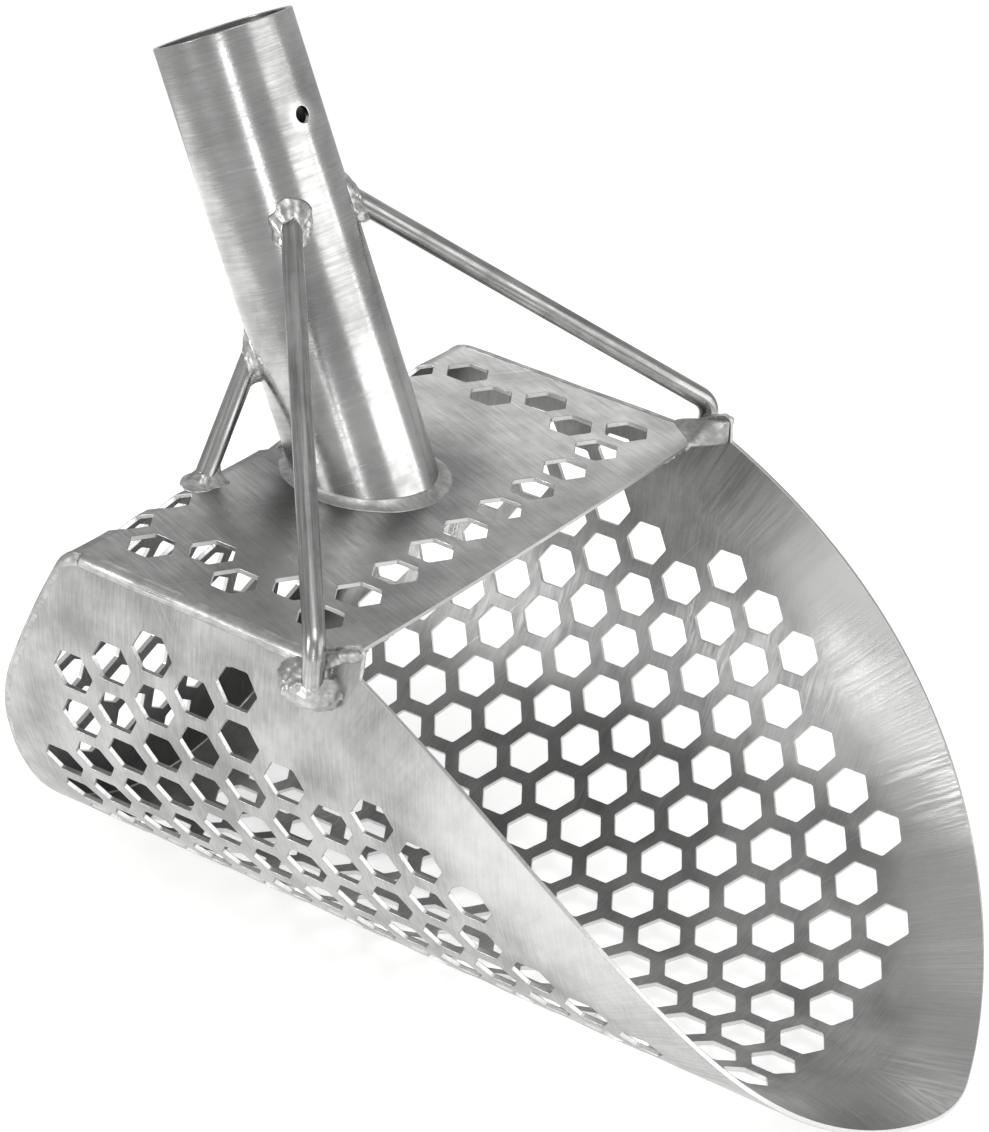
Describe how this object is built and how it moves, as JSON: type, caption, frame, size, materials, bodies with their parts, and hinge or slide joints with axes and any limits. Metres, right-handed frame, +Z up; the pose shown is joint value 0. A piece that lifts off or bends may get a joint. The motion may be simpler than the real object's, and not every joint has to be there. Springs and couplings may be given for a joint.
{
  "type": "beach sand scoop",
  "caption": "Round-bottomed perforated steel sand scoop with a pointed lip, a flat deck, a leaning tube socket for a long handle, and round-rod braces.",
  "frame": {"origin": "centre of the handle socket's open end, where the pole goes in", "axes": "+Z up, square to the deck; the mouth and lip face -Y; +X is the scoop's own left"},
  "size_m": [0.2026, 0.2834, 0.2544],
  "materials": {
    "sheet_steel": "brushed stainless sheet",
    "tube_steel": "satin polished stainless tube",
    "rod_steel": "drawn stainless rod",
    "weld_metal": "ground and shiny weld metal"
  },
  "bodies": {
    "root": {"basket_shell": "sheet_steel", "hood_plate": "sheet_steel", "handle_socket": "tube_steel", "socket_base_weld": "weld_metal", "front_strut_left": "rod_steel", "front_strut_right": "rod_steel", "rear_strut_left": "rod_steel", "rear_strut_right": "rod_steel", "front_strut_top_weld_left": "weld_metal", "front_strut_top_weld_right": "weld_metal", "front_strut_foot_weld_left": "weld_metal", "front_strut_foot_weld_right": "weld_metal", "rear_strut_top_weld_left": "weld_metal", "rear_strut_top_weld_right": "weld_metal", "rear_strut_foot_weld_left": "weld_metal", "rear_strut_foot_weld_right": "weld_metal", "deck_corner_weld_left": "weld_metal", "deck_corner_weld_right": "weld_metal", "deck_seam_weld_left": "weld_metal", "deck_seam_weld_right": "weld_metal", "back_seam_weld_left": "weld_metal", "back_seam_weld_right": "weld_metal"}
  },
  "joints": []
}
